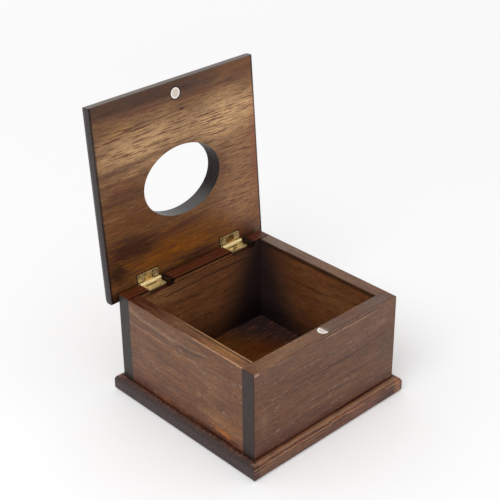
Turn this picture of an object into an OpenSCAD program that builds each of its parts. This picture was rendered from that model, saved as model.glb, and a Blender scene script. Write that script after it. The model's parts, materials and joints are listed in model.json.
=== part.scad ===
// Square wooden box with a hinged lid that has an oval opening.
// Millimetres. +Z is up, the front is -Y, and the origin is the middle of the base plate's underside.
// The lid is drawn open, as it stands against its stop.

/* [Box] */
// Outside width of the walls, side to side
box_w = 130; // [100:1:200]
// Outside depth of the walls, front to back
box_d = 130; // [100:1:200]
// Height of the walls above the base plate
wall_h = 64; // [50:0.5:120]
// Thickness of the side walls
side_t = 9.5; // [9:0.5:14]
// Thickness of the front and back walls
end_t = 10.5; // [9:0.5:14]
// Rounding of the walls' outer edges
wall_edge_r = 0.8; // [0.4:0.1:1.5]
// Bevel of the walls' inner top edges
rim_bevel = 0.4; // [0.2:0.1:0.8]

/* [Base plate] */
// Thickness of the base plate
base_t = 12; // [10:0.5:18]
// Distance that the base plate stands out from the walls
base_overhang = 4.8; // [3:0.1:12]
// Round-over of the base plate's upper edge
base_top_r = 4.5; // [2:0.5:6]
// Round-over of the base plate's lower edge
base_bottom_r = 2; // [0.5:0.5:3]

/* [Lid] */
// Thickness of the lid
lid_t = 12; // [10:0.5:18]
// Distance that the lid stands out from the side walls
lid_side_overhang = 4.4; // [2:0.1:12]
// Distance that the closed lid stands out from the front wall
lid_front_overhang = 1.2; // [1:0.1:12]
// Distance that the closed lid stands out from the back wall
lid_back_overhang = 6.4; // [3:0.1:12]
// Height of the flat band under the lid's round-over
lid_edge_flat = 3.5; // [1:0.5:6]
// Rounding of the lid's lower edge
lid_lower_r = 0.5; // [0.2:0.1:0.8]
// Gap between the closed lid and the walls
lid_gap = 0.3; // [0.2:0.1:0.8]
// Angle between the open lid and its closed position
lid_angle = 94; // [60:1:105]

/* [Oval opening] */
// Length of the oval opening, side to side
oval_w = 66.5; // [30:0.5:80]
// Width of the oval opening, front to back
oval_d = 49; // [25:1:70]
// Distance of the opening's middle behind the middle of the lid
oval_setback = 0.7; // [0:0.1:3]

/* [Magnets] */
// Diameter of the disc magnets
magnet_d = 8; // [4:0.5:8]
// Thickness of the disc magnets
magnet_t = 3; // [2:0.5:5]
// Distance that the lid's magnet sits behind the wall's magnet
lid_magnet_setback = 2.2; // [0:0.1:3]

/* [Hinges] */
// Distance from each end of the back wall to the middle of its hinge
hinge_inset = 27.5; // [27.5:0.5:35]
// Length of a hinge along its pin
hinge_l = 17.5; // [14:0.5:22]
// Width of a leaf from the pin's axis to its free edge
leaf_w = 7; // [6:0.1:8]
// Thickness of a leaf
leaf_t = 0.8; // [0.6:0.1:1]
// Diameter of the knuckles
barrel_d = 3.4; // [3:0.1:4]
// Diameter of the hinge pin
pin_d = 1.6; // [1.2:0.1:1.8]
// Length of each of a hinge's two outer knuckles
outer_knuckle_l = 4.4; // [3:0.1:5]
// Distance of the hinge axis behind the back wall
hinge_setback = 0.5; // [0.5:0.1:1.5]
// Head diameter of the hinge screws
hinge_screw_head_d = 3.2; // [2.6:0.1:3.2]
// Shank diameter of the hinge screws
hinge_screw_d = 1.7; // [1.4:0.1:1.8]
// Length of the hinge screws
hinge_screw_l = 6; // [4:0.5:8]

/* [Joinery] */
// Diameter of the dowels in the corner joints
dowel_d = 4; // [3:0.5:5]
// Length of the dowels
dowel_l = 22; // [18:1:30]
// Head diameter of the base screws
base_screw_head_d = 6; // [5:0.5:6.5]
// Shank diameter of the base screws
base_screw_d = 3; // [2.5:0.5:3.5]
// Length of the base screws
base_screw_l = 25; // [20:1:35]

/* [Hidden] */
$fn = 48;

// Clearances and small allowances
glue_gap = 0.05;        // round a magnet, dowel or screw in its hole
pin_gap = 0.05;         // between the pin and the knuckle that turns on it
pin_press_gap = 0.01;   // between the pin and the knuckles that hold it
knuckle_gap = 0.2;      // between neighbouring knuckles
swing_gap = 0.3;        // between a turning knuckle and what it passes
stop_gap = 0.1;         // between the open lid and the hinge edges that stop it
notch_end_gap = 0.75;   // between a hinge and each end of its notch
cut = 1;                // how far a cutting shape runs past a face

// Heights and outlines of the box
wall_top = base_t + wall_h;
inner_w = box_w - 2 * side_t;
inner_d = box_d - 2 * end_t;
front_y = -box_d / 2;
back_y = box_d / 2;
base_w = box_w + 2 * base_overhang;
base_d = box_d + 2 * base_overhang;

// The lid, as it lies closed
lid_z = wall_top + lid_gap;
lid_w = box_w + 2 * lid_side_overhang;
lid_d = box_d + lid_front_overhang + lid_back_overhang;
lid_y = (lid_back_overhang - lid_front_overhang) / 2;
lid_round_r = lid_t - lid_edge_flat;
oval_points = 120;

// Hinge axis, and the notches that the hinges lie in
hinge_x = box_w / 2 - hinge_inset;
leaf_stand = barrel_d / 2 + swing_gap;
axis_y = back_y + hinge_setback;
axis_z = lid_z - leaf_stand;
notch_floor = axis_z - leaf_stand;
notch_l = hinge_l + 2 * notch_end_gap;
leaf_corner_r = 0.6;
leaf_slot = barrel_d / 2 + swing_gap;
// The wall leaf runs on behind the axis until its edge meets the open lid's inner face
stop_reach = (leaf_stand * (1 + cos(lid_angle)) - stop_gap) / sin(lid_angle);
pin_end_bevel = 0.2;
pin_stand_out = 0.3;
hinge_screw_x = hinge_l / 2 - 3.1;
hinge_screw_y = -(leaf_w + leaf_slot) / 2 + 0.3;

// The wall's magnet lies in the middle of the front wall's thickness
magnet_y = front_y + end_t / 2;
lid_magnet_y = magnet_y + lid_magnet_setback;

// Corner dowels and base screws
side_x = box_w / 2 - side_t / 2;
end_y = box_d / 2 - end_t / 2;
dowel_end_wood = 2.5;
dowel_start_y = box_d / 2 - dowel_end_wood;
dowel_heights = [base_t + wall_h * 0.3, base_t + wall_h * 0.75];
screw_recess = 0.5;
base_screw_across = box_w / 4;
base_screw_along = box_d / 8;

// Section of a board: bottom on the X axis, rounded at its two upper and two lower corners
module board_section(w, t, top_r, bottom_r) {
    translate([-w / 2, bottom_r]) square([w, t - top_r - bottom_r]);
    translate([bottom_r - w / 2, 0]) square([w - 2 * bottom_r, t - top_r]);
    translate([top_r - w / 2, bottom_r]) square([w - 2 * top_r, t - bottom_r]);
    for (side = [-1, 1]) {
        translate([side * (w / 2 - top_r), t - top_r]) upper_half_circle(top_r);
        translate([side * (w / 2 - bottom_r), bottom_r]) circle(bottom_r);
    }
}

module upper_half_circle(r) {
    intersection() {
        circle(r);
        translate([-r, 0]) square([2 * r, r]);
    }
}

// Board whose four edges share one moulded section, with mitred corners
module moulded_board(w, d, t, top_r, bottom_r) {
    intersection() {
        rotate([90, 0, 0]) linear_extrude(d, center = true) board_section(w, t, top_r, bottom_r);
        rotate([90, 0, 90]) linear_extrude(w, center = true) board_section(d, t, top_r, bottom_r);
    }
}

// Rectangle with rounded corners, centred
module rounded_rectangle(w, d, r) {
    square([w - 2 * r, d], center = true);
    square([w, d - 2 * r], center = true);
    for (x = [-1, 1], y = [-1, 1]) translate([x * (w / 2 - r), y * (d / 2 - r)]) circle(r);
}

// Everything that the finished walls stay within: a block with eased outer edges
module wall_envelope() {
    below = 2 * wall_edge_r;
    translate([0, 0, base_t - below])
        moulded_board(box_w, box_d, wall_h + below, wall_edge_r, wall_edge_r / 2);
}

module wall_corner_envelope() {
    translate([0, 0, base_t]) linear_extrude(wall_h) rounded_rectangle(box_w, box_d, wall_edge_r);
}

// Widening of the cavity at the rim, which bevels the walls' inner top edges
module rim_cut() {
    intersection() {
        rotate([90, 0, 0]) linear_extrude(box_d, center = true) rim_section(inner_w);
        rotate([90, 0, 90]) linear_extrude(box_w, center = true) rim_section(inner_d);
    }
}

module rim_section(opening) {
    low = opening / 2;
    high = low + rim_bevel + cut;
    polygon([
        [-low, wall_top - rim_bevel],
        [low, wall_top - rim_bevel],
        [high, wall_top + cut],
        [-high, wall_top + cut]
    ]);
}

// One wall, w wide and d deep about its centre, cut to the box's eased outline
module wall_board(w, d, centre) {
    difference() {
        intersection() {
            translate([centre[0] - w / 2, centre[1] - d / 2, base_t]) cube([w, d, wall_h]);
            wall_envelope();
            wall_corner_envelope();
        }
        rim_cut();
    }
}

// Screw with a countersunk cross-recess head; the head's top is at the origin, the tip below
module screw(head_d, shank_d, length) {
    head_h = (head_d - shank_d) / 2;
    tip_h = shank_d;
    difference() {
        union() {
            translate([0, 0, -head_h]) cylinder(h = head_h, d1 = shank_d, d2 = head_d);
            translate([0, 0, tip_h - length]) cylinder(h = length - tip_h - head_h, d = shank_d);
            translate([0, 0, -length]) cylinder(h = tip_h, d1 = shank_d / 4, d2 = shank_d);
        }
        for (turn = [0, 90]) rotate(turn)
            cube([head_d * 0.6, head_d * 0.14, head_h * 1.2], center = true);
    }
}

// Hole for such a screw, widened by the glue gap, with its mouth run out past the face
module screw_hole(head_d, shank_d, length) {
    head_h = (head_d - shank_d) / 2;
    translate([0, 0, glue_gap - head_h])
        cylinder(h = head_h, d1 = shank_d + 2 * glue_gap, d2 = head_d + 2 * glue_gap);
    translate([0, 0, glue_gap - cut / 1000]) cylinder(h = cut, d = head_d + 2 * glue_gap);
    translate([0, 0, -length - glue_gap])
        cylinder(h = length - head_h + 3 * glue_gap, d = shank_d + 2 * glue_gap);
}

module magnet_disc() {
    cylinder(h = magnet_t, d = magnet_d);
}

// Pocket for a magnet, with its mouth run out past the face
module magnet_pocket() {
    translate([0, 0, -glue_gap]) cylinder(h = magnet_t + glue_gap + cut, d = magnet_d + 2 * glue_gap);
}

// Places what belongs to the closed lid where the open lid carries it
module open_lid() {
    translate([0, axis_y, axis_z]) rotate([-lid_angle, 0, 0]) translate([0, -axis_y, -axis_z])
        children();
}

module at_hinge(side) {
    translate([side * hinge_x, axis_y, axis_z]) children();
}

// Leaf seen with the pin's axis on the X axis: the plate lies below it, from -leaf_w in Y to reach
module leaf_plate(reach) {
    translate([0, 0, -leaf_stand]) linear_extrude(leaf_t) {
        translate([-hinge_l / 2, leaf_corner_r - leaf_w])
            square([hinge_l, leaf_w - leaf_corner_r + reach]);
        translate([leaf_corner_r - hinge_l / 2, -leaf_w])
            square([hinge_l - 2 * leaf_corner_r, leaf_w]);
        for (side = [-1, 1])
            translate([side * (hinge_l / 2 - leaf_corner_r), leaf_corner_r - leaf_w])
                circle(leaf_corner_r);
    }
}

// Cylinder along X from x0 to x1
module along_x(x0, x1, d) {
    translate([x0, 0, 0]) rotate([0, 90, 0]) cylinder(h = x1 - x0, d = d);
}

module leaf_screw_places() {
    for (side = [-1, 1])
        translate([side * hinge_screw_x, hinge_screw_y, leaf_t - leaf_stand]) children();
}

// Leaf with knuckles on the spans in knuckles, cut free of the other leaf's knuckles on free_spans
module hinge_leaf(knuckles, free_spans, bore_d, reach) {
    difference() {
        union() {
            leaf_plate(reach);
            for (k = knuckles) along_x(k[0], k[1], barrel_d);
        }
        for (f = free_spans)
            translate([f[0], -leaf_slot, -leaf_stand - cut])
                cube([f[1] - f[0], leaf_slot + leaf_w, 2 * (leaf_stand + cut)]);
        along_x(-hinge_l / 2 - cut, hinge_l / 2 + cut, bore_d);
        leaf_screw_places() screw_hole(hinge_screw_head_d, hinge_screw_d, hinge_screw_l);
    }
}

module wall_leaf() {
    inner = hinge_l / 2 - outer_knuckle_l;
    hinge_leaf(
        [[-hinge_l / 2, -inner], [inner, hinge_l / 2]],
        [[-inner, inner]],
        pin_d + 2 * pin_press_gap,
        stop_reach
    );
}

module lid_leaf() {
    inner = hinge_l / 2 - outer_knuckle_l - knuckle_gap;
    mirror([0, 0, 1]) hinge_leaf(
        [[-inner, inner]],
        [[-hinge_l / 2 - cut, -inner], [inner, hinge_l / 2 + cut]],
        pin_d + 2 * pin_gap,
        0
    );
}

// Hinge pin with bevelled ends
module hinge_pin() {
    half = hinge_l / 2 + pin_stand_out;
    r = pin_d / 2;
    rotate([0, 90, 0]) rotate_extrude() polygon([
        [0, -half],
        [r - pin_end_bevel, -half],
        [r, pin_end_bevel - half],
        [r, half - pin_end_bevel],
        [r - pin_end_bevel, half],
        [0, half]
    ]);
}

module hinge_screws() {
    leaf_screw_places() screw(hinge_screw_head_d, hinge_screw_d, hinge_screw_l);
}

module hinge_screw_holes() {
    leaf_screw_places() screw_hole(hinge_screw_head_d, hinge_screw_d, hinge_screw_l);
}

// Dowels run along Y, from the front and back walls into the ends of the side walls
module dowel_places() {
    for (side = [-1, 1], end = [0, 1], z = dowel_heights)
        mirror([0, end, 0]) translate([side * side_x, -dowel_start_y, z]) rotate([-90, 0, 0])
            children();
}

module dowel_holes() {
    dowel_places() translate([0, 0, -glue_gap])
        cylinder(h = dowel_l + 2 * glue_gap, d = dowel_d + 2 * glue_gap);
}

// Base screws go up through the base plate into the middle of each wall's lower edge
module base_screw_places() {
    for (side = [-1, 1], end = [-1, 1]) {
        translate([side * base_screw_across, end * end_y, screw_recess]) mirror([0, 0, 1]) children();
        translate([side * side_x, end * base_screw_along, screw_recess]) mirror([0, 0, 1]) children();
    }
}

module base_screw_holes() {
    base_screw_places() screw_hole(base_screw_head_d, base_screw_d, base_screw_l);
}

module base_plate() {
    color("saddlebrown") difference() {
        moulded_board(base_w, base_d, base_t, base_top_r, base_bottom_r);
        base_screw_holes();
    }
}

module front_wall() {
    color("sienna") difference() {
        wall_board(box_w, end_t, [0, -end_y]);
        translate([0, magnet_y, wall_top - magnet_t]) magnet_pocket();
        dowel_holes();
        base_screw_holes();
    }
}

module back_wall() {
    color("sienna") difference() {
        wall_board(box_w, end_t, [0, end_y]);
        for (side = [-1, 1]) {
            translate([side * hinge_x - notch_l / 2, back_y - end_t - cut, notch_floor])
                cube([notch_l, end_t + 2 * cut, wall_h]);
            at_hinge(side) hinge_screw_holes();
        }
        dowel_holes();
        base_screw_holes();
    }
}

module side_wall(side) {
    difference() {
        wall_board(side_t, inner_d, [side * side_x, 0]);
        dowel_holes();
        base_screw_holes();
    }
}

module left_wall() {
    color("peru") side_wall(-1);
}

module right_wall() {
    color("peru") side_wall(1);
}

module oval() {
    polygon([
        for (i = [0 : oval_points - 1])
            [oval_w / 2 * cos(360 * i / oval_points), oval_d / 2 * sin(360 * i / oval_points)]
    ]);
}

module lid_panel() {
    color("saddlebrown") open_lid() difference() {
        translate([0, lid_y, lid_z]) moulded_board(lid_w, lid_d, lid_t, lid_round_r, lid_lower_r);
        translate([0, lid_y + oval_setback, lid_z - cut]) linear_extrude(lid_t + 2 * cut) oval();
        translate([0, lid_magnet_y, lid_z + magnet_t]) mirror([0, 0, 1]) magnet_pocket();
        for (side = [-1, 1]) at_hinge(side) mirror([0, 0, 1]) hinge_screw_holes();
    }
}

module wall_magnet() {
    color("silver") translate([0, magnet_y, wall_top - magnet_t]) magnet_disc();
}

module lid_magnet() {
    color("silver") open_lid() translate([0, lid_magnet_y, lid_z]) magnet_disc();
}

module corner_dowels() {
    color("burlywood") dowel_places() cylinder(h = dowel_l, d = dowel_d);
}

module base_screws() {
    color("silver") base_screw_places() screw(base_screw_head_d, base_screw_d, base_screw_l);
}

module left_hinge_wall_leaf() {
    color("gold") at_hinge(-1) wall_leaf();
}

module right_hinge_wall_leaf() {
    color("gold") at_hinge(1) wall_leaf();
}

module left_hinge_lid_leaf() {
    color("gold") open_lid() at_hinge(-1) lid_leaf();
}

module right_hinge_lid_leaf() {
    color("gold") open_lid() at_hinge(1) lid_leaf();
}

module left_hinge_pin() {
    color("goldenrod") at_hinge(-1) hinge_pin();
}

module right_hinge_pin() {
    color("goldenrod") at_hinge(1) hinge_pin();
}

module left_hinge_wall_screws() {
    color("goldenrod") at_hinge(-1) hinge_screws();
}

module right_hinge_wall_screws() {
    color("goldenrod") at_hinge(1) hinge_screws();
}

module left_hinge_lid_screws() {
    color("goldenrod") open_lid() at_hinge(-1) mirror([0, 0, 1]) hinge_screws();
}

module right_hinge_lid_screws() {
    color("goldenrod") open_lid() at_hinge(1) mirror([0, 0, 1]) hinge_screws();
}

base_plate();
front_wall();
back_wall();
left_wall();
right_wall();
lid_panel();
wall_magnet();
lid_magnet();
corner_dowels();
base_screws();
left_hinge_wall_leaf();
left_hinge_lid_leaf();
left_hinge_pin();
left_hinge_wall_screws();
left_hinge_lid_screws();
right_hinge_wall_leaf();
right_hinge_lid_leaf();
right_hinge_pin();
right_hinge_wall_screws();
right_hinge_lid_screws();
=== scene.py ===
import json
import math

import bpy
from mathutils import Matrix, Vector


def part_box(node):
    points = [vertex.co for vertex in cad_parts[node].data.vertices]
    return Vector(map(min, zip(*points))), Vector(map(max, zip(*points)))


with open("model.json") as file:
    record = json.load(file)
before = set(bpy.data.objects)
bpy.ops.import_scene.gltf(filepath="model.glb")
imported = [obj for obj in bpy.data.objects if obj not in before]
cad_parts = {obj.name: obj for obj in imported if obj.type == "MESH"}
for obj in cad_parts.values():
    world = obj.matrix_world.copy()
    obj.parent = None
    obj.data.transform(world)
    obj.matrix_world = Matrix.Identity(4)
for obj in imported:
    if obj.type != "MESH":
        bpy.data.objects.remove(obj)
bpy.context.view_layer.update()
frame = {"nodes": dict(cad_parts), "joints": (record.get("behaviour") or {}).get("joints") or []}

MM = 0.001

# View of the object: the camera stands in front, to the left and above
CAMERA_PLACE = (-0.46796, -0.49169, 0.48620)
CAMERA_DOWN = 28.99  # degrees
CAMERA_ROUND = -43.21  # degrees
CAMERA_ROLL = -0.59  # degrees
CAMERA_LENS = 86.49  # mm
SENSOR = 36  # mm wide

# Studio: a white room and one soft lamp, at the left and above
LAMP_PLACE = (-1.05, -0.3, 1.3)
LAMP_AIM = (0, 0, 0.06)
LAMP_SIZE = 0.9  # m
LAMP_POWER = 7.6  # W
ROOM_LIGHT = 0.72  # strength on the object
ROOM_SEEN = 0.985  # strength in the camera and in reflections
FLOOR_SIZE = 8  # m
FLOOR_NEAR = 1.2  # m round the object within which the floor's glow sinks, painting shade round the object
FLOOR_GLOW = (0.18, 0.115)  # far from the object and beside it
FLOOR_BOUNCE = (0.85, 0.85, 0.85)


def in_mm(length):
    return length / MM


def middle(node):
    low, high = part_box(node)
    return (low + high) / 2


def extent(node):
    """Width, depth and height of a CAD node at rest, in mm."""
    low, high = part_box(node)
    return [in_mm(side) for side in high - low]


# Places that the grain and stains are set by, in mm unless a comment says otherwise
HINGE_AXIS = tuple(frame["joints"][0]["pos_m"])  # m
LID_OPEN = frame["joints"][0]["range_deg"][1]  # degrees from closed to the lid's place at rest
WALL_MIDDLE = (0, 0, middle("front_wall").z)  # m
BOX_HALF_W = extent("front_wall")[0] / 2
BOX_HALF_D = in_mm(-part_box("front_wall")[0].y)
SIDE_WALL = extent("right_wall")[0]
END_WALL = extent("front_wall")[1]
FOOT = -extent("front_wall")[2] / 2  # V of the walls' lower edges
BASE_HALF_W = extent("base_plate")[0] / 2
BASE_TOP = extent("base_plate")[2]
LID_HALF_W = extent("lid_panel")[0] / 2
MAGNET_R = extent("wall_magnet")[0] / 2
HINGE_X = in_mm(middle("right_hinge_lid_leaf").x)
HINGE_HALF_L = extent("right_hinge_lid_leaf")[0] / 2
BARREL_R = 1.7  # radius of the hinges' knuckles
LEAF_W = 7.0  # from a hinge's axis to its leaf's free edge
LID_REACH = 131.7  # from the hinges' axis to the lid's front edge
LID_MAGNET_V = -123.05  # V of the middle of the lid's magnet
OVAL_V = -62.2  # V of the middle of the oval
OVAL_HALF_W = 33.25
OVAL_HALF_D = 24.5
THROUGH = 400  # size along W of a mark that goes through any board

# Fine dark lines in the lid: start, end, bow and strength, counted from the lid's front edge
LID_LINES = (
    ((-66, 28), (34, 27), -1.0, 0.2),
    ((10, 25), (68, 22), 1.5, 0.25),
    ((-40, 39), (66, 37), 2.0, 0.175),
    ((34, 46), (68, 44), -1.0, 0.25),
    ((-66, 52), (-20, 50), 1.0, 0.3),
    ((-66, 58), (-34, 60), 0.0, 0.35),
    ((34, 56), (68, 60), 1.0, 0.175),
    ((-66, 72), (-36, 74), 1.0, 0.25),
    ((30, 79), (70, 81), -1.5, 0.375),
    ((-64, 82), (-30, 85), -1.0, 0.25),
    ((-60, 92), (66, 95), 2.0, 0.25),
    ((-20, 99), (60, 101), -1.5, 0.275),
    ((-60, 111), (40, 113), 1.5, 0.25),
    ((-40, 121), (50, 122), -1.0, 0.25),
)


def srgb(r, g, b):
    """A colour as it shows on a screen, 0..255, as the linear values that shaders take."""
    linear = []
    for c in (r, g, b):
        c = c / 255
        linear.append(c / 12.92 if c <= 0.04045 else ((c + 0.055) / 1.055) ** 2.4)
    return tuple(linear)


# What the lacquer's reflection of the white room adds to a board's colour
SHEEN_SHOWN = 0.042
DARKEST = 0.002


def shown(r, g, b):
    """Base colour that shows as r, g, b under the lacquer."""
    return tuple(max(c - SHEEN_SHOWN, DARKEST) for c in srgb(r, g, b))


# Stains: dark, middle and light tone of each kind of board
SIDE_STAIN = (shown(88, 58, 42), shown(116, 83, 63), shown(142, 107, 82))
END_STAIN = (shown(86, 54, 40), shown(115, 80, 61), shown(140, 103, 80))
LID_STAIN = (shown(96, 62, 38), shown(146, 109, 78), shown(186, 148, 112))
BASE_STAIN = (shown(78, 50, 40), shown(118, 84, 66), shown(158, 120, 94))
PORE_TONE = shown(58, 38, 28)
FLECK_TONE = shown(178, 142, 112)
RAY_TONE = shown(190, 154, 126)
JOINT_STAIN_AND_SHADE = (0.009, 0.0035, 0.002)  # stain and glue gathered in a corner or round a fitting, with painted shade where the parts meet
DEEP_PAINTED_SHADE = (0.026, 0.017, 0.019)  # painted shade deep inside the box
LACQUER = 0.42  # specular level of lacquer over the pale grain


class Shader:
    """One material's node tree. Each call adds a node and returns its output socket."""

    def __init__(self, name):
        self.material = bpy.data.materials.new(name)
        self.material.use_nodes = True
        self.tree = self.material.node_tree
        self.tree.nodes.clear()

    def node(self, kind, **settings):
        node = self.tree.nodes.new("ShaderNode" + kind)
        for name, value in settings.items():
            setattr(node, name, value)
        return node

    def plug(self, value, socket):
        if isinstance(value, bpy.types.NodeSocket):
            self.tree.links.new(value, socket)
        elif value is not None:
            socket.default_value = value

    def plug_colour(self, colour, socket):
        self.plug(colour if isinstance(colour, bpy.types.NodeSocket) else (*colour, 1.0), socket)

    def math(self, operation, *values):
        node = self.node("Math", operation=operation)
        for value, socket in zip(values, node.inputs):
            self.plug(value, socket)
        return node.outputs[0]

    def product(self, *values):
        product = values[0]
        for value in values[1:]:
            product = self.math("MULTIPLY", product, value)
        return product

    def away(self, value, centre):
        """How far value is from centre, on either side."""
        return self.math("ABSOLUTE", self.math("SUBTRACT", value, centre))

    def span(self, value, low, high, to_low=0.0, to_high=1.0):
        """value from low..high to to_low..to_high, with soft ends."""
        node = self.node("MapRange", interpolation_type="SMOOTHSTEP")
        for v, socket in zip((value, low, high, to_low, to_high), node.inputs):
            self.plug(v, socket)
        return node.outputs[0]

    def fade_to_one(self, value, factor):
        """value where factor is 0, and 1 where factor is 1."""
        kept = self.math("MULTIPLY", self.math("SUBTRACT", 1.0, factor), value)
        return self.math("ADD", kept, factor)

    def mix(self, factor, a, b):
        node = self.node("Mix", data_type="RGBA")
        self.plug(factor, node.inputs[0])
        self.plug_colour(a, node.inputs[6])
        self.plug_colour(b, node.inputs[7])
        return node.outputs[2]

    def ramp(self, value, *stops):
        node = self.node("ValToRGB")
        elements = node.color_ramp.elements
        while len(elements) < len(stops):
            elements.new(0.5)
        for element, (place, colour) in zip(elements, stops):
            element.position = place
            element.color = (*colour, 1.0)
        self.plug(value, node.inputs[0])
        return node.outputs[0]

    def coordinates(self):
        return self.node("TexCoord").outputs

    def place(self, vector, centre=(0, 0, 0), turn=(0, 0, 0), size=(1, 1, 1)):
        """vector seen from centre, turned by turn degrees, in units of size."""
        node = self.node("Mapping", vector_type="TEXTURE")
        self.plug(vector, node.inputs[0])
        node.inputs[1].default_value = centre
        node.inputs[2].default_value = [math.radians(t) for t in turn]
        node.inputs[3].default_value = size
        return node.outputs[0]

    def split(self, vector):
        node = self.node("SeparateXYZ")
        self.plug(vector, node.inputs[0])
        return node.outputs

    def radius(self, x, y):
        """Distance of the point x, y from zero."""
        point = self.node("CombineXYZ")
        self.plug(x, point.inputs[0])
        self.plug(y, point.inputs[1])
        length = self.node("VectorMath", operation="LENGTH")
        self.plug(point.outputs[0], length.inputs[0])
        return length.outputs["Value"]

    def fall_off(self, vector):
        """1 at the vector's zero, falling evenly to 0 at a distance of 1."""
        node = self.node("TexGradient", gradient_type="SPHERICAL")
        self.plug(vector, node.inputs[0])
        return node.outputs["Fac"]

    def noise(self, vector, size, detail=2.0, roughness=0.5):
        """Noise in 0..1 whose lumps have about that size along each axis."""
        node = self.node("TexNoise")
        self.plug(self.place(vector, size=size), node.inputs["Vector"])
        return self.noise_value(node, detail, roughness)

    def noise_along(self, value, size, detail=2.0, roughness=0.5):
        """Noise in 0..1 that changes with value alone."""
        node = self.node("TexNoise", noise_dimensions="1D")
        self.plug(self.math("DIVIDE", value, size), node.inputs["W"])
        return self.noise_value(node, detail, roughness)

    def noise_value(self, node, detail, roughness):
        node.inputs["Scale"].default_value = 1.0
        node.inputs["Detail"].default_value = detail
        node.inputs["Roughness"].default_value = roughness
        return node.outputs[0]

    def bump(self, height, strength, distance):
        node = self.node("Bump")
        node.inputs["Strength"].default_value = strength
        node.inputs["Distance"].default_value = distance
        self.plug(height, node.inputs["Height"])
        return node.outputs[0]

    def surface(self, colour, roughness, normal, sheen=None, metallic=0.0):
        node = self.node("BsdfPrincipled")
        self.plug_colour(colour, node.inputs["Base Color"])
        self.plug(roughness, node.inputs["Roughness"])
        self.plug(normal, node.inputs["Normal"])
        self.plug(sheen, node.inputs["Specular IOR Level"])
        node.inputs["Metallic"].default_value = metallic
        output = self.node("OutputMaterial")
        self.tree.links.new(node.outputs[0], output.inputs["Surface"])
        return self.material


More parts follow.
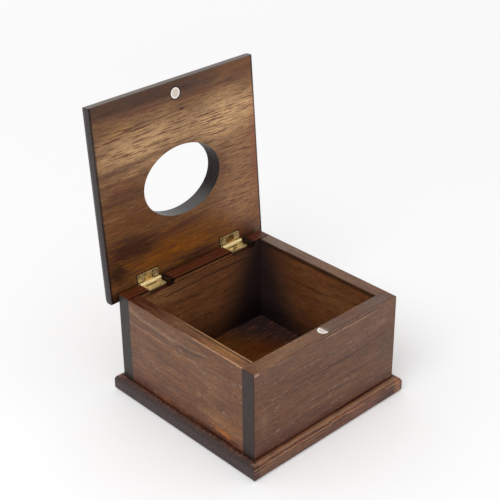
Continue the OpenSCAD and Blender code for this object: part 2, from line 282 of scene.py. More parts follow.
class Board:
    """Stained and lacquered wood, marked in mm of the board's own space.

    centre and turn (in degrees) place that space on the object. U runs along the grain, V across the wide
    face and W through the thickness. half_length is half the board's length, and patches and streaks count V
    from v_zero. The growth rings lie ring apart and stray by wander. contrast spreads the stain's tones, and
    speckle and pores are the strengths of the fine pale and dark grain.
    """

    def __init__(self, name, centre, turn, stain, half_length, *, v_zero=0.0,
                 wander=16.0, ring=3.4, contrast=0.16, speckle=0.3, pores=0.4):
        self.s = s = Shader(name)
        self.v_zero = v_zero
        self.speckle = speckle
        at = s.coordinates()
        self.space = s.place(at["Object"], centre, turn, (MM, MM, MM))
        self.u, self.v, self.w = s.split(self.space)
        self.facing = s.split(s.place(at["Normal"], turn=turn))
        drift = s.noise(self.space, (80, 30, 50), detail=2)
        ring_place = s.math("ADD", self.v, s.math("MULTIPLY", drift, wander))
        rings = s.noise_along(ring_place, ring, detail=5, roughness=0.65)
        self.fibre = s.noise(self.space, (16, 0.75, 0.75), detail=5, roughness=0.66)
        self.cloud = s.noise(self.space, (26, 10, 10), detail=4, roughness=0.6)
        tone = s.math("MULTIPLY", rings, 0.34)
        tone = s.math("MULTIPLY_ADD", self.fibre, 0.4, tone)
        tone = s.math("MULTIPLY_ADD", self.cloud, 0.26, tone)
        dark, medium, light = stain
        self.colour = s.ramp(tone, (0.5 - contrast, dark), (0.5, medium), (0.5 + contrast, light))
        self.fine = s.noise(self.space, (4.5, 0.4, 0.4), detail=3)
        self.zone(self.fine, 0.6, 0.72, pores, PORE_TONE)
        flecks = s.noise(self.space, (2.6, 0.9, 0.9), detail=2, roughness=0.6)
        self.zone(flecks, 0.62, 0.76, 0.32, FLECK_TONE)
        near_end = s.span(s.math("ABSOLUTE", self.u), half_length - 3.0, half_length - 1.5)
        endwise = s.span(s.math("ABSOLUTE", self.facing[0]), 0.5, 0.85)
        self.end = s.product(endwise, near_end)  # 1 on end grain
        self.sheen = 1.0  # factor on the lacquer's reflection

    def toward(self, axis, sign=1):
        """1 where the surface faces along that axis of the board."""
        return self.s.span(self.s.math("MULTIPLY", self.facing[axis], sign), 0.5, 0.8)

    def tint(self, mask, colour, on=None):
        """Blends towards colour by mask, and only within on, which is a mask too, where that is given."""
        if on is not None:
            mask = self.s.product(mask, on)
        self.colour = self.s.mix(mask, self.colour, colour)

    def zone(self, value, low, high, amount, colour, on=None):
        """Blends towards colour, up to amount, as value goes from low to high."""
        self.tint(self.s.span(value, low, high, 0.0, amount), colour, on)

    def band(self, value, centre, half_width, amount, colour, on=None):
        """Stripe where value is close to centre."""
        s = self.s
        mask = s.span(s.away(value, centre), half_width * 0.4, half_width, amount, 0.0)
        self.tint(s.product(mask, s.span(self.fibre, 0.3, 0.5, 0.6, 1.0)), colour, on)

    def patch(self, centre, size, amount, colour, turn=0, on=None, ragged=2.6):
        """Soft-edged oval of another tone, ragged along the grain. size is its half length and half width."""
        s = self.s
        u, v = centre
        near = s.place(self.space, (u, v + self.v_zero, 0), (0, 0, turn), (*size, THROUGH))
        oval = s.math("ADD", s.fall_off(near), s.math("MULTIPLY_ADD", self.fibre, ragged, -ragged / 2))
        self.tint(s.span(oval, 0.0, 0.8, 0.0, amount), colour, on)

    def streak(self, start, end, width, amount, colour, bow=0.0, wave=1.2, on=None, dash=None):
        """Line of grain from start to end, bowed by bow, wavering by wave and broken every dash or so."""
        s = self.s
        along = s.math("DIVIDE", s.math("SUBTRACT", self.u, start[0]), end[0] - start[0])
        rise = s.math("MULTIPLY_ADD", along, end[1] - start[1], start[1] + self.v_zero)
        arch = s.product(along, s.math("SUBTRACT", 1.0, along), 4 * bow)
        waver = s.math("MULTIPLY_ADD", s.noise_along(self.u, 11.0, detail=3), 2 * wave, -wave)
        line = s.math("ADD", s.math("ADD", rise, arch), waver)
        mask = s.product(
            s.span(s.away(self.v, line), 0.0, width, amount, 0.0),
            s.span(along, 0.0, 0.12),
            s.span(along, 0.85, 1.0, 1.0, 0.0),
            s.span(self.fibre, 0.3, 0.55, 0.45, 1.0),
        )
        if dash:
            mask = s.product(mask, s.span(s.noise_along(self.u, dash, detail=2), 0.42, 0.54))
        self.tint(mask, colour, on)

    def flecks(self, on, colour=RAY_TONE):
        """Short pale rays in clusters."""
        s = self.s
        rays = s.noise(self.space, (4.2, 0.75, 0.75), detail=3, roughness=0.6)
        clusters = s.noise(self.space, (18, 9, 9), detail=1)
        mask = s.product(s.span(rays, 0.58, 0.7, 0.0, 0.6), s.span(clusters, 0.45, 0.62))
        self.tint(mask, colour, on)

    def finish(self, roughness=(0.33, 0.48), end_tone=(0.012, 0.0075, 0.007), end_sheen=0.36):
        """The board's material, once all its marks are in: figure, end grain, lacquer and fine bump."""
        s = self.s
        speck = s.noise(self.space, (3.2, 0.8, 0.8), detail=4, roughness=0.75)
        figure = s.noise(self.space, (15, 3.4, 3.4), detail=4, roughness=0.7)
        bright = s.span(speck, 0.32, 0.68, 1.0 - self.speckle, 1.0 + self.speckle)
        bright = s.product(bright, s.span(figure, 0.32, 0.68, 0.83, 1.17))
        grained = s.node("HueSaturation")
        s.plug(bright, grained.inputs["Value"])
        s.plug(self.colour, grained.inputs["Color"])
        end_rings = s.noise(self.space, (60, 2.2, 2.2), detail=4, roughness=0.65)
        end_light = tuple(c * 2.4 for c in end_tone)
        end_colour = s.ramp(end_rings, (0.35, end_tone), (0.7, end_light))
        colour = s.mix(self.end, grained.outputs[0], end_colour)
        gloss = s.span(s.math("ADD", self.fibre, self.fine), 0.75, 1.25, *roughness)
        normal = s.bump(s.math("MULTIPLY_ADD", self.fine, 0.6, self.fibre), 0.5, 0.15 * MM)
        tone = s.node("RGBToBW")
        s.plug(self.colour, tone.inputs[0])
        by_tone = s.span(tone.outputs[0], 0.004, 0.04, 0.55, 1.0)
        lacquer = s.span(self.end, 0.0, 1.0, LACQUER, end_sheen)
        sheen = s.product(lacquer, self.sheen, s.fade_to_one(by_tone, self.end))
        return s.surface(colour, gloss, normal, sheen)


def side_wall_board(name):
    """Board of a side wall: U runs to the back, V up and W to the right."""
    b = Board(name, WALL_MIDDLE, (90, 0, 90), SIDE_STAIN, BOX_HALF_D, contrast=0.17)
    # Joint stain and painted shade darken the wall's foot
    b.zone(b.v, FOOT + 2.4, FOOT, 0.85, JOINT_STAIN_AND_SHADE)
    return b


def left_wall_wood():
    """Two long pale and dark lines at the back, tight broken grain at the front, a darker foot, and a painted
    highlight along the front of the outer top edge.
    """
    b = side_wall_board("left_wall_wood")
    s = b.s
    outer, top = b.toward(2, -1), b.toward(1)
    b.zone(b.v, -12, -32, 0.5, shown(102, 64, 38), outer)
    b.patch((-20, 8), (34, 16), 0.4, shown(138, 106, 84))
    b.patch((38, -4), (22, 20), 0.25, shown(130, 100, 86))
    b.patch((-26, -17), (24, 9), 0.5, shown(142, 106, 76))
    b.patch((-24, -11), (46, 6), 0.45, shown(100, 72, 58), turn=-23)
    b.patch((22, -20), (26, 5), 0.35, shown(106, 78, 64), turn=-18)
    b.patch((-40, -20), (24, 12), 0.55, shown(148, 106, 74), on=outer)
    b.patch((-38, -27), (11, 4), 0.85, shown(182, 112, 56), on=outer)
    b.patch((40, -28), (24, 5), 0.6, shown(84, 44, 34), on=outer)
    b.flecks(outer)
    b.streak((62, 26.5), (4, 20.5), 2.6, 0.6, shown(154, 128, 104), bow=-1.0, wave=1.0, on=outer)
    b.streak((62, 23.5), (8, 18.5), 1.1, 0.5, shown(88, 68, 58), bow=-1.0, wave=0.8, on=outer)
    b.streak((62, 15.2), (12, 14.4), 1.1, 0.7, shown(150, 124, 108), wave=0.6, on=outer)
    b.streak((62, 30), (-48, 27), 1.0, 0.45, shown(90, 68, 58), bow=1.5, on=outer)
    b.streak((8, 19.8), (-20, 22.2), 2.2, 0.75, shown(80, 68, 60), bow=-0.8, wave=0.6, on=outer)
    b.streak((12, 22.2), (-24, 24.6), 1.0, 0.6, shown(150, 126, 106), bow=-0.8, wave=0.4, on=outer)
    b.streak((6, 17.0), (-16, 14.0), 2.0, 0.35, shown(168, 140, 122), wave=2.4, on=outer, dash=5.0)
    b.streak((-28, 13.0), (-60, 19.0), 2.2, 0.4, shown(168, 138, 118), wave=3.0, on=outer, dash=5.0)
    b.streak((-10, -7.0), (-44, -12.0), 2.2, 0.5, shown(166, 128, 98), wave=2.4, on=outer, dash=4.0)
    b.streak((-8, -18.0), (-56, -22.0), 2.0, 0.5, shown(164, 124, 88), wave=2.0, on=outer, dash=4.0)
    b.streak((14, -30.0), (-56, -28.5), 1.6, 0.7, shown(54, 34, 26), on=outer, dash=3.6)
    from_cavity = s.math("SUBTRACT", SIDE_WALL - BOX_HALF_W, b.w)
    forward = s.product(top, s.span(b.u, 24, -10))
    b.zone(b.u, 6, 34, 0.6, shown(84, 50, 32), top)
    b.patch((-34, 32), (28, 30), 0.6, shown(166, 122, 80), on=top)
    b.band(from_cavity, 0.8, 0.9, 0.6, shown(176, 132, 94), forward)
    b.band(from_cavity, 2.3, 0.75, 0.85, shown(58, 34, 22), forward)
    b.band(from_cavity, 5.6, 0.5, 0.5, shown(92, 58, 38), forward)
    b.band(from_cavity, 8.2, 0.4, 0.5, shown(86, 50, 40), top)
    # Painted highlight on the rounded outer top edge towards the front
    front_rim_highlight = s.product(s.span(b.v, 31.2, 31.7), s.span(b.u, 12, -16))
    b.band(from_cavity, SIDE_WALL - 0.2, 0.8, 0.55, shown(200, 158, 130), front_rim_highlight)
    return b.finish()


def right_wall_wood():
    """Warm and even inside, with painted shade deepening towards the back corner and towards the floor, and
    greyer on top, partly by a painted sheen.
    """
    b = side_wall_board("right_wall_wood")
    s = b.s
    inner, top = b.toward(2, -1), b.toward(1)
    b.tint(s.span(b.cloud, 0.0, 1.0, 0.5, 0.75), shown(140, 98, 76), inner)
    b.patch((-22, 10), (30, 13), 0.5, shown(160, 118, 84), on=inner, turn=8)
    b.patch((-34, -2), (18, 10), 0.5, shown(150, 106, 76), on=inner)
    b.streak((30, 12), (-50, 20), 0.9, 0.5, shown(60, 34, 22), bow=-3.0, on=inner)
    b.streak((20, 2), (-50, 6), 0.9, 0.4, shown(62, 36, 24), bow=2.0, on=inner)
    b.zone(b.v, 27.5, 30.0, 0.7, shown(50, 24, 16), inner)
    # Painted shade deepening towards the back corner
    b.zone(s.math("MULTIPLY_ADD", b.v, -0.4, b.u), 4, 50, 0.95, DEEP_PAINTED_SHADE, inner)
    # Painted shade deepening towards the floor
    b.zone(b.v, -6, -30, 0.6, shown(50, 28, 22), inner)
    from_cavity = s.math("SUBTRACT", b.w, BOX_HALF_W - SIDE_WALL)
    # Greyer on top: partly a painted sheen over the wood's own tone
    b.patch((40, 32), (26, 30), 0.5, shown(142, 124, 108), on=top)
    b.patch((8, 32), (16, 30), 0.35, shown(128, 102, 96), on=top)
    b.patch((-40, 32), (26, 30), 0.3, shown(116, 88, 72), on=top)
    b.band(from_cavity, SIDE_WALL - 0.3, 0.8, 0.7, shown(66, 58, 58), top)
    b.band(from_cavity, 3.2, 0.5, 0.35, shown(92, 70, 60), top)
    return b.finish()


def end_wall_board(name):
    """Board of the front or back wall: U runs to the right, V up and W to the front."""
    b = Board(name, WALL_MIDDLE, (90, 0, 0), END_STAIN, BOX_HALF_W, contrast=0.17)
    # Joint stain and painted shade darken the wall's foot
    b.zone(b.v, FOOT + 2.0, FOOT, 0.85, JOINT_STAIN_AND_SHADE)
    return b


def front_wall_wood():
    """Dark broken grain on the left, long pale lines on the right, a painted highlight on the upper left
    corner and another along the upper edge on the right.
    """
    b = end_wall_board("front_wall_wood")
    s = b.s
    outer, inner, top = b.toward(2), b.toward(2, -1), b.toward(1)
    b.zone(b.v, -14, -32, 0.55, shown(88, 56, 40), outer)
    b.flecks(outer)
    b.zone(b.v, 10, 31, 0.45, shown(126, 96, 80), outer)
    b.patch((-57, -6), (7, 12), 0.5, shown(142, 108, 84), on=outer)
    b.patch((-19, -15), (11, 5), 0.55, shown(134, 98, 74), on=outer)
    b.patch((20, 13), (40, 8), 0.4, shown(130, 99, 85), on=outer)
    b.patch((50, 20), (18, 8), 0.35, shown(132, 102, 90), on=outer)
    b.patch((56, -2), (14, 16), 0.45, shown(90, 76, 70), on=outer)
    b.patch((30, -24), (30, 6), 0.3, shown(108, 78, 62), on=outer)
    b.streak((-58, 9.0), (6, 7.0), 1.5, 0.6, shown(70, 46, 38), bow=-1.0, wave=1.6, on=outer, dash=4.0)
    b.streak((-54, 6.8), (-8, 4.6), 1.5, 0.4, shown(156, 122, 100), wave=1.6, on=outer, dash=4.0)
    b.streak((-50, 4.0), (-4, 2.4), 1.6, 0.55, shown(72, 46, 38), wave=1.8, on=outer, dash=4.0)
    b.streak((-8, 6.5), (62, 10), 1.3, 0.75, shown(76, 54, 46), bow=-2.0, on=outer)
    b.streak((-60, 18.5), (64, 16.5), 1.6, 0.4, shown(160, 130, 110), bow=-1.0, wave=2.4, on=outer, dash=4.4)
    b.streak((-22, -11.0), (32, -12.0), 1.7, 0.45, shown(156, 120, 96), wave=2.0, on=outer, dash=4.0)
    b.streak((-18, -17.5), (14, -18.0), 1.6, 0.4, shown(150, 110, 86), wave=2.0, on=outer, dash=4.0)
    # Painted highlight on the upper left corner
    upper = s.product(outer, s.span(b.v, 29.4, 30.4))
    b.patch((-63, 30.4), (3.5, 2.0), 0.65, shown(200, 164, 138), on=upper)
    # Painted highlight along the rounded upper edge of the right half
    right_half = s.product(outer, s.span(b.u, -8, 6))
    b.zone(b.v, 31.3, 31.8, 0.4, shown(160, 132, 112), right_half)
    b.streak((-24, -13), (36, -17), 1.1, 0.6, shown(76, 52, 42), bow=1.5, on=outer)
    b.streak((-62, -20), (-8, -15), 1.0, 0.45, shown(82, 58, 48), bow=1.0, on=outer)
    b.streak((-50, 17), (60, 14), 0.8, 0.35, shown(90, 66, 56), bow=2.0, on=outer)
    b.streak((-8, 10), (62, 15), 0.9, 0.4, shown(86, 64, 54), bow=-1.5, on=outer)
    b.streak((-18, 30.9), (56, 30.8), 0.8, 0.8, shown(62, 46, 40), wave=0.3, on=outer)
    b.streak((-6, 29.6), (50, 29.4), 0.7, 0.75, shown(184, 146, 118), wave=0.3, on=outer)
    from_cavity = s.math("SUBTRACT", b.w, BOX_HALF_D - END_WALL)
    b.patch((-38, 32), (34, 30), 0.5, shown(146, 112, 82), on=top)
    b.patch((8, 32), (16, 30), 0.45, shown(98, 84, 76), on=top)
    b.patch((48, 32), (20, 30), 0.5, shown(114, 98, 90), on=top)
    top_right = s.product(top, s.span(b.u, -30, 0))
    b.band(from_cavity, END_WALL - 1.5, 0.7, 0.6, shown(86, 64, 52), top_right)
    b.band(from_cavity, 4.0, 0.6, 0.4, shown(98, 74, 58), top)
    b.band(from_cavity, 7.4, 0.5, 0.3, shown(104, 80, 62), top)
    b.zone(b.v, 30.0, 24.0, 0.6, shown(60, 34, 22), inner)
    return b.finish(end_tone=(0.0165, 0.009, 0.008), end_sheen=0.3)


def back_wall_wood():
    """Warm inside with dark lines below the rim, painted shade deepening towards the right corner and towards
    the floor, and painted shade beside and under each hinge.
    """
    b = end_wall_board("back_wall_wood")
    s = b.s
    inner, top = b.toward(2), b.toward(1)
    b.tint(s.span(b.cloud, 0.0, 1.0, 0.5, 0.75), shown(158, 112, 86), inner)
    b.patch((-36, 22), (30, 10), 0.65, shown(186, 138, 98), on=inner)
    b.patch((-26, 4), (34, 10), 0.5, shown(168, 112, 76), on=inner)
    dark = shown(44, 22, 12)
    b.streak((-58, 28.6), (54, 29.0), 1.0, 0.8, dark, wave=0.5, on=inner)
    b.streak((-40, 26.0), (46, 26.6), 0.9, 0.65, dark, wave=0.6, on=inner)
    b.streak((-48, 23.8), (30, 24.4), 0.9, 0.5, dark, wave=0.6, on=inner)
    b.streak((-40, 21.0), (48, 22.2), 1.3, 0.9, dark, bow=0.6, wave=0.6, on=inner)
    b.streak((-30, 12.0), (34, 14.4), 1.8, 0.35, dark, bow=-1.0, wave=1.6, on=inner)
    b.streak((-34, 1.0), (30, 3.0), 1.6, 0.45, dark, bow=1.0, wave=1.6, on=inner, dash=5.0)
    b.streak((-14, -9.0), (24, -9.6), 1.4, 0.6, dark, wave=1.8, on=inner, dash=4.0)
    b.streak((-54, 25.2), (20, 25.6), 0.9, 0.5, shown(150, 116, 86), wave=0.5, on=inner)
    b.streak((-50, 18.0), (10, 18.4), 1.0, 0.4, shown(146, 108, 80), wave=0.6, on=inner)
    # Painted shade deepening towards the right corner
    b.zone(s.math("MULTIPLY_ADD", b.v, -0.3, b.u), 12, 48, 0.95, DEEP_PAINTED_SHADE, inner)
    # Painted shade deepening towards the floor
    b.zone(b.v, -4, -30, 0.7, shown(54, 28, 20), inner)
    b.tint(s.span(b.cloud, 0.2, 0.8, 0.6, 0.85), shown(104, 66, 50), top)
    from_cavity = s.math("SUBTRACT", END_WALL - BOX_HALF_D, b.w)
    at_rim = s.span(b.v, 30.8, 31.4)
    b.band(from_cavity, 0.0, 1.5, 0.95, shown(48, 28, 18), at_rim)
    b.band(from_cavity, 4.0, 0.8, 0.65, shown(46, 26, 16), top)
    b.band(from_cavity, 7.4, 0.9, 0.5, shown(50, 28, 18), top)
    b.sheen = s.span(s.product(at_rim, s.span(from_cavity, 1.4, 0.7)), 0.0, 1.0, 1.0, 0.1)
    # Painted shade in each hinge's notch, beside the knuckles' end and under the leaf
    for hinge_x in (-HINGE_X, HINGE_X):
        past = s.math("SUBTRACT", b.u, hinge_x + HINGE_HALF_L)
        beside = s.product(s.span(past, -1.5, -0.5), s.span(past, 5.0, 2.5))
        b.tint(s.span(b.v, 27.0, 29.0, 0.0, 0.9), shown(46, 32, 20), beside)
        under = s.span(s.away(b.u, hinge_x), HINGE_HALF_L + 1.0, HINGE_HALF_L)
        b.tint(s.span(b.v, 27.5, 28.5, 0.0, 0.8), shown(62, 36, 22), under)
    return b.finish()


def lid_wood():
    """A broad light band behind the magnet, warm brown below the oval, dark strips at both edges, painted
    shade along the hinged edge and a painted grey sheen on the rounded front edge.

    On the closed lid, U runs to the right, V to the back and W up.
    """
    b = Board(
        "lid_wood", HINGE_AXIS, (-LID_OPEN, 0, 0), LID_STAIN, LID_HALF_W,
        v_zero=-LID_REACH, wander=12.0, ring=2.6, speckle=0.18, pores=0.12,
    )
    s = b.s
    from_front = s.math("ADD", b.v, LID_REACH)
    b.zone(from_front, 46, 76, 0.55, shown(122, 84, 56))
    b.zone(from_front, 90, 110, 0.4, shown(150, 98, 58))
    b.flecks(s.span(from_front, 12, 24), shown(206, 164, 122))
    b.patch((-30, 36), (62, 24), 0.88, shown(214, 172, 128), turn=-2, ragged=0.9)
    b.patch((44, 36), (58, 25), 0.92, shown(234, 188, 140), ragged=0.9)
    b.patch((56, 22), (22, 7), 0.6, shown(178, 136, 98))
    b.patch((-46, 21), (24, 6), 0.6, shown(172, 132, 84))
    b.patch((54, 62), (26, 38), 0.85, shown(178, 135, 98))
    b.patch((50, 98), (34, 28), 0.9, shown(190, 140, 100))
    b.patch((10, 112), (60, 14), 0.5, shown(140, 92, 46))
    b.patch((-50, 47), (34, 5), 0.6, shown(88, 62, 42), turn=-3)
    b.patch((-10, 45), (44, 4), 0.5, shown(104, 74, 52), turn=-2)
    b.patch((-50, 66), (30, 8), 0.6, shown(96, 66, 44))
    b.patch((-46, 86), (30, 8), 0.5, shown(124, 82, 48))
    b.patch((-48, 104), (40, 15), 0.9, shown(70, 26, 8), turn=4)
    b.patch((-6, 102), (30, 4), 0.6, shown(84, 46, 28), turn=-4)
    b.patch((-10, 117), (46, 8), 0.8, shown(162, 104, 46))
    b.patch((-62, 118), (16, 14), 0.85, shown(56, 28, 20))
    b.patch((8, 127), (30, 6), 0.8, shown(78, 34, 24))
    b.patch((56, 126), (18, 10), 0.6, shown(96, 62, 44))
    b.streak((-68, 20), (6, 21), 0.9, 0.6, shown(86, 56, 34), bow=1.0)
    b.patch((4, 20.5), (4.0, 1.6), 0.9, shown(84, 54, 34))
    for start, end, bow, amount in LID_LINES:
        b.streak(start, end, 0.8, amount, shown(96, 66, 46), bow=bow)
    b.streak((-66, 13), (68, 12), 2.4, 0.6, shown(100, 54, 38), wave=1.0)
    greyed = s.product(s.span(from_front, 8, 14, 0.85, 0.0), s.span(b.u, 6, 60, 1.0, 0.45))
    b.tint(greyed, shown(84, 66, 56))
    b.zone(from_front, 12, 6, 0.5, shown(134, 88, 58), s.span(b.u, 20, 60))
    # Painted shade on the strip of the lid below the back wall's top, next to the hinges
    b.zone(from_front, 124, 136, 0.9, shown(54, 30, 20))
    inner = b.toward(2, -1)
    from_side = s.math("SUBTRACT", LID_HALF_W, s.math("ABSOLUTE", b.u))
    b.zone(from_side, 2.2, 0.9, 0.9, shown(44, 30, 24), inner)
    b.patch((66, 60), (5, 56), 0.5, shown(160, 100, 78), on=inner)
    near_face = s.span(b.w, 8.0, 6.0)
    # Dark ring of joint stain and painted shade round the magnet's pocket
    from_magnet = s.radius(b.u, s.math("SUBTRACT", b.v, LID_MAGNET_V))
    b.zone(from_magnet, MAGNET_R + 0.9, MAGNET_R + 0.35, 0.95, JOINT_STAIN_AND_SHADE, near_face)
    # Painted shade with joint stain round each hinge leaf on the lid
    beside_leaf = s.math("SUBTRACT", s.away(s.math("ABSOLUTE", b.u), HINGE_X), HINGE_HALF_L)
    past_leaf = s.math("SUBTRACT", -LEAF_W, b.v)
    b.zone(s.math("MAXIMUM", beside_leaf, past_leaf), 1.6, 0.0, 0.85, JOINT_STAIN_AND_SHADE, near_face)
    # The oval's bore is end grain all round, duller at the right and shinier below
    oval_size = (OVAL_HALF_W + 1.0, OVAL_HALF_D + 1.0, THROUGH)
    at_oval = s.span(s.fall_off(s.place(b.space, (0, OVAL_V, 0), size=oval_size)), 0.0, 0.01)
    bore_wall = s.span(s.math("ABSOLUTE", b.facing[2]), 0.7, 0.3)
    b.end = s.math("MAXIMUM", b.end, s.product(at_oval, bore_wall))
    right_bore = s.product(at_oval, s.span(b.facing[0], -0.2, -0.9))
    lower_bore = s.product(at_oval, s.span(b.facing[1], -0.5, -0.95))
    b.sheen = s.product(s.span(right_bore, 0.0, 1.0, 1.0, 0.3), s.span(lower_bore, 0.0, 1.0, 1.0, 2.2))
    # Painted sheen: the rounded front edge is tinted grey
    front_edge = s.product(s.span(s.math("ABSOLUTE", b.facing[1]), 0.3, 0.7), s.span(from_front, 3.0, 1.0))
    b.tint(front_edge, shown(108, 98, 94))
    return b.finish(roughness=(0.34, 0.5))


def base_wood():
    """Fine lines along the moulded front and back edges, and a darker floor inside the box with painted shade
    deepening towards the back right.
    """
    b = Board("base_wood", (0, 0, 0), (0, 0, 0), BASE_STAIN, BASE_HALF_W, wander=8.0, ring=1.8)
    s = b.s
    past_side = s.math("SUBTRACT", s.math("ABSOLUTE", b.u), BOX_HALF_W)
    past_front = s.math("SUBTRACT", s.math("ABSOLUTE", b.v), BOX_HALF_D)
    outside = s.math("MAXIMUM", past_side, past_front)
    below = s.math("SUBTRACT", BASE_TOP, b.w)
    edge = s.span(past_front, 0.0, 1.0)
    floor = s.span(outside, 0.0, -3.0)
    b.zone(outside, 0.0, -3.0, 0.93, shown(104, 76, 58))
    b.patch((10, 40), (16, 14), 0.5, shown(112, 84, 62), on=floor)
    b.patch((26, 22), (22, 10), 0.5, shown(98, 64, 52), on=floor)
    b.streak((-4, 34), (36, 36), 1.4, 0.75, shown(44, 24, 14), wave=1.6, on=floor, dash=5.0)
    b.streak((0, 26), (40, 27), 1.2, 0.6, shown(50, 24, 16), wave=1.6, on=floor, dash=5.0)
    # Painted shade deepening towards the back right of the floor
    b.zone(s.math("MULTIPLY_ADD", b.v, 0.6, b.u), 34, 68, 0.95, DEEP_PAINTED_SHADE, floor)
    b.sheen = s.span(outside, -2.0, -5.0, 1.0, 0.35)
    b.zone(past_side, 0.0, 0.6, 0.85, shown(68, 44, 38), s.span(b.cloud, 0.3, 0.7, 0.8, 1.0))
    waved = s.math("MULTIPLY_ADD", s.noise_along(b.u, 9.0, detail=3), 2.4, s.math("SUBTRACT", below, 1.2))
    pale_stretch = s.product(edge, s.span(b.cloud, 0.35, 0.55))
    other_stretch = s.product(edge, s.span(b.cloud, 0.6, 0.45))
    b.band(below, 0.9, 0.6, 0.6, shown(168, 132, 104), edge)
    b.band(waved, 2.0, 0.6, 0.35, shown(92, 62, 50), edge)
    b.band(waved, 3.2, 0.5, 0.7, shown(176, 140, 112), pale_stretch)
    b.band(waved, 4.4, 0.6, 0.3, shown(94, 62, 50), edge)
    b.band(waved, 5.8, 0.5, 0.5, shown(166, 126, 98), other_stretch)
    b.band(waved, 7.2, 0.6, 0.3, shown(96, 62, 50), edge)
    b.patch((-28, -BOX_HALF_D - 4), (5, 1.5), 0.45, shown(130, 74, 60))
    b.patch((6, -BOX_HALF_D - 4), (4, 1.4), 0.45, shown(136, 76, 60))
    b.zone(below, 8.0, 11.0, 0.7, shown(78, 50, 42), edge)
    b.patch((66, -BOX_HALF_D - 4), (5, 3), 0.5, shown(186, 128, 96))
    b.patch((30, -BOX_HALF_D - 4), (24, 4), 0.35, shown(140, 96, 82))
    # Joint stain and painted shade along the foot of the walls
    b.zone(s.math("ABSOLUTE", outside), 1.2, 0.0, 0.92, JOINT_STAIN_AND_SHADE)
    return b.finish(end_tone=(0.027, 0.0155, 0.014), end_sheen=0.27)


def brass_metal(name, face, edge, roughness, grime):
    """Brass with a mottled face, edges bright with wear and painted highlight, knuckles and up-turned faces
    lightened as painted highlight, and grime in patches on the leaves.
    """
    s = Shader(name)
    space = s.place(s.coordinates()["Object"], HINGE_AXIS, size=(MM, MM, MM))
    _, y, z = s.split(space)
    leaf = s.span(s.radius(y, z), BARREL_R, BARREL_R + 0.25)
    mottle = s.noise(space, (5.0, 5.0, 5.0), detail=2)
    colour = s.ramp(mottle, (0.42, srgb(*face[0])), (0.58, srgb(*face[1])))
    # Painted highlight: the knuckles are lighter than the leaves
    colour = s.mix(s.span(leaf, 0.0, 1.0, 0.8, 0.0), colour, srgb(*edge))
    # Painted highlight on faces turned up
    upward = s.split(s.coordinates()["Normal"])[2]
    colour = s.mix(s.span(upward, 0.7, 0.95, 0.0, 0.6), colour, srgb(*edge))
    spots = s.noise(space, (3.0, 3.0, 3.0), detail=2)
    colour = s.mix(s.product(s.span(spots, 0.52, 0.6, 0.0, grime), leaf), colour, srgb(92, 64, 28))
    # Edges bright with wear and painted highlight
    rounded = s.node("Bevel", samples=6)
    rounded.inputs["Radius"].default_value = 0.5 * MM
    across = s.node("VectorMath", operation="DOT_PRODUCT")
    s.plug(rounded.outputs[0], across.inputs[0])
    s.plug(s.node("NewGeometry").outputs["True Normal"], across.inputs[1])
    edge_wear_and_highlight = s.span(across.outputs["Value"], 0.999, 0.985)
    colour = s.mix(edge_wear_and_highlight, colour, srgb(*edge))
    scratches = s.noise(space, (3.0, 0.15, 0.15), detail=2)
    rough = s.span(s.math("ADD", mottle, scratches), 0.75, 1.25, *roughness)
    return s.surface(colour, rough, s.bump(scratches, 0.25, 0.03 * MM), metallic=0.5)


def steel_metal(name):
    """Zinc-plated steel, crystalline and a little dull."""
    s = Shader(name)
    space = s.place(s.coordinates()["Object"], size=(MM, MM, MM))
    mottle = s.noise(space, (1.4, 1.4, 1.4), detail=4, roughness=0.6)
    colour = s.ramp(mottle, (0.32, srgb(150, 150, 148)), (0.68, srgb(206, 205, 200)))
    rough = s.span(mottle, 0.3, 0.7, 0.28, 0.45)
    return s.surface(colour, rough, s.bump(mottle, 0.2, 0.03 * MM), metallic=1.0)


def magnet_metal(name, centre, turn, shade_past=None):
    """Nickel plate: a dull middle, a bright ring of painted highlight and a dark rim, with painted shade over
    the part beyond the given x.
    """
    s = Shader(name)
    space = s.place(s.coordinates()["Object"], centre, turn, (MM, MM, MM))
    x, y, _ = s.split(space)
    radius = s.radius(x, y)
    mottle = s.noise(space, (2.2, 2.2, 2.2), detail=4, roughness=0.6)
    colour = s.ramp(mottle, (0.3, srgb(206, 192, 180)), (0.7, srgb(226, 214, 204)))
    # Painted highlight: a bright ring on the face
    colour = s.mix(s.span(radius, MAGNET_R * 0.62, MAGNET_R * 0.8), colour, srgb(250, 244, 236))
    colour = s.mix(s.span(radius, MAGNET_R - 0.45, MAGNET_R - 0.1), colour, srgb(52, 40, 32))
    # Painted shade over the part beyond the given x
    if shade_past is not None:
        painted_shade = s.math("MULTIPLY_ADD", mottle, 1.6, s.math("SUBTRACT", x, shade_past + 0.8))
        colour = s.mix(s.span(painted_shade, -0.3, 0.5, 0.0, 0.92), colour, srgb(96, 78, 62))
    rough = s.span(mottle, 0.3, 0.7, 0.26, 0.42)
    dimples = s.noise(space, (0.5, 0.5, 0.5), detail=2)
    return s.surface(colour, rough, s.bump(dimples, 0.2, 0.03 * MM), metallic=0.9)


def dowel_wood(name):
    """Plain beech: pale, with short rays."""
    s = Shader(name)
    space = s.place(s.coordinates()["Object"], size=(MM, MM, MM))
    fibre = s.noise(space, (0.5, 14, 0.5), detail=3, roughness=0.6)
    colour = s.ramp(fibre, (0.35, srgb(176, 134, 88)), (0.65, srgb(208, 172, 126)))
    rays = s.span(s.noise(space, (0.4, 1.8, 0.4), detail=1), 0.62, 0.7, 0.0, 0.5)
    colour = s.mix(rays, colour, srgb(150, 104, 66))
    return s.surface(colour, s.span(fibre, 0.3, 0.7, 0.55, 0.7), s.bump(fibre, 0.4, 0.1 * MM))


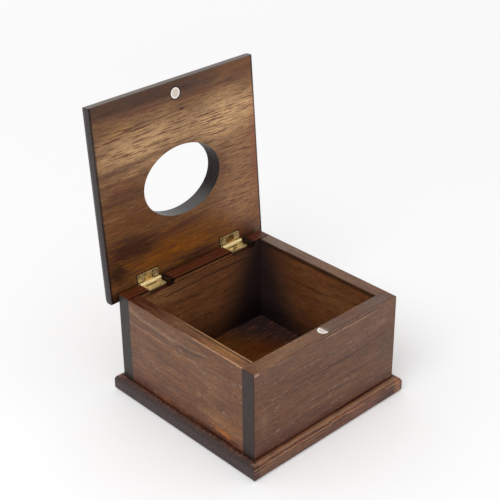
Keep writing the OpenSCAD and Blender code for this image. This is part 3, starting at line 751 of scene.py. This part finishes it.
def dress_nodes():
    leaf = brass_metal("brass", ((136, 98, 46), (218, 182, 112)), (252, 228, 166), (0.2, 0.4), 0.85)
    pin = brass_metal("pin_brass", ((250, 226, 166), (255, 240, 196)), (255, 244, 206), (0.2, 0.35), 0.05)
    screw = brass_metal("screw_brass", ((84, 58, 26), (140, 108, 60)), (240, 214, 160), (0.3, 0.45), 0.6)
    materials = {
        "base_plate": base_wood(),
        "front_wall": front_wall_wood(),
        "back_wall": back_wall_wood(),
        "left_wall": left_wall_wood(),
        "right_wall": right_wall_wood(),
        "lid_panel": lid_wood(),
        "wall_magnet": magnet_metal("wall_magnet", middle("wall_magnet"), (0, 0, 0), shade_past=1.0),
        "lid_magnet": magnet_metal("lid_magnet", middle("lid_magnet"), (-LID_OPEN, 0, 0)),
        "corner_dowels": dowel_wood("dowel_wood"),
        "base_screws": steel_metal("screw_steel"),
    }
    for side in ("left", "right"):
        hinge = side + "_hinge_"
        materials[hinge + "pin"] = pin
        for carrier in ("wall", "lid"):
            materials[hinge + carrier + "_leaf"] = leaf
            materials[hinge + carrier + "_screws"] = screw
    for name, node in frame["nodes"].items():
        node.data.materials.clear()
        node.data.materials.append(materials[name])


def make_camera():
    data = bpy.data.cameras.new("camera")
    data.lens = CAMERA_LENS
    data.sensor_width = SENSOR
    camera = bpy.data.objects.new("camera", data)
    tilt = Matrix.Rotation(math.radians(90 - CAMERA_DOWN), 4, "X")
    turn = Matrix.Rotation(math.radians(CAMERA_ROUND), 4, "Z")
    roll = Matrix.Rotation(math.radians(CAMERA_ROLL), 4, "Z")
    camera.matrix_world = Matrix.Translation(CAMERA_PLACE) @ turn @ tilt @ roll
    bpy.context.scene.collection.objects.link(camera)
    bpy.context.scene.camera = camera


def make_floor():
    """Pale floor. The camera and reflections also see a glow in it, which spares the object's shadow; the
    glow is weaker beside the object, a painted shade round it.
    """
    bpy.ops.mesh.primitive_plane_add(size=FLOOR_SIZE)
    floor = bpy.context.object
    floor.name = "floor"
    s = Shader("floor")
    white = s.node("BsdfDiffuse")
    white.inputs["Color"].default_value = (1, 1, 1, 1)
    glow = s.node("Emission")
    glow.inputs["Color"].default_value = (1, 1, 1, 1)
    # The glow sinks beside the object: painted shade round it
    near = s.fall_off(s.place(s.coordinates()["Object"], size=(FLOOR_NEAR, FLOOR_NEAR, FLOOR_NEAR)))
    s.plug(s.span(near, 0.0, 0.7, *FLOOR_GLOW), glow.inputs["Strength"])
    bright = s.node("AddShader")
    s.plug(white.outputs[0], bright.inputs[0])
    s.plug(glow.outputs[0], bright.inputs[1])
    plain = s.node("BsdfDiffuse")
    plain.inputs["Color"].default_value = (*FLOOR_BOUNCE, 1)
    rays = s.node("LightPath").outputs
    choose = s.node("MixShader")
    s.plug(s.math("MAXIMUM", rays["Is Camera Ray"], rays["Is Glossy Ray"]), choose.inputs[0])
    s.plug(plain.outputs[0], choose.inputs[1])
    s.plug(bright.outputs[0], choose.inputs[2])
    output = s.node("OutputMaterial")
    s.plug(choose.outputs[0], output.inputs["Surface"])
    floor.data.materials.append(s.material)


def make_world():
    world = bpy.data.worlds.new("studio")
    bpy.context.scene.world = world
    world.use_nodes = True
    nodes, links = world.node_tree.nodes, world.node_tree.links
    background = nodes["Background"]
    background.inputs["Color"].default_value = (1, 1, 1, 1)
    rays = nodes.new("ShaderNodeLightPath").outputs
    seen = nodes.new("ShaderNodeMath")
    seen.operation = "MAXIMUM"
    links.new(rays["Is Camera Ray"], seen.inputs[0])
    links.new(rays["Is Glossy Ray"], seen.inputs[1])
    level = nodes.new("ShaderNodeMapRange")
    level.inputs["To Min"].default_value = ROOM_LIGHT
    level.inputs["To Max"].default_value = ROOM_SEEN
    links.new(seen.outputs[0], level.inputs["Value"])
    links.new(level.outputs[0], background.inputs["Strength"])


def make_lamp():
    data = bpy.data.lights.new("key", "AREA")
    data.size = LAMP_SIZE
    data.energy = LAMP_POWER
    lamp = bpy.data.objects.new("key", data)
    lamp.location = LAMP_PLACE
    aim = Vector(LAMP_AIM) - lamp.location
    lamp.rotation_euler = aim.to_track_quat("-Z", "Y").to_euler()
    bpy.context.scene.collection.objects.link(lamp)


dress_nodes()
make_camera()
make_floor()
make_world()
make_lamp()
bpy.context.scene.view_settings.view_transform = "Standard"
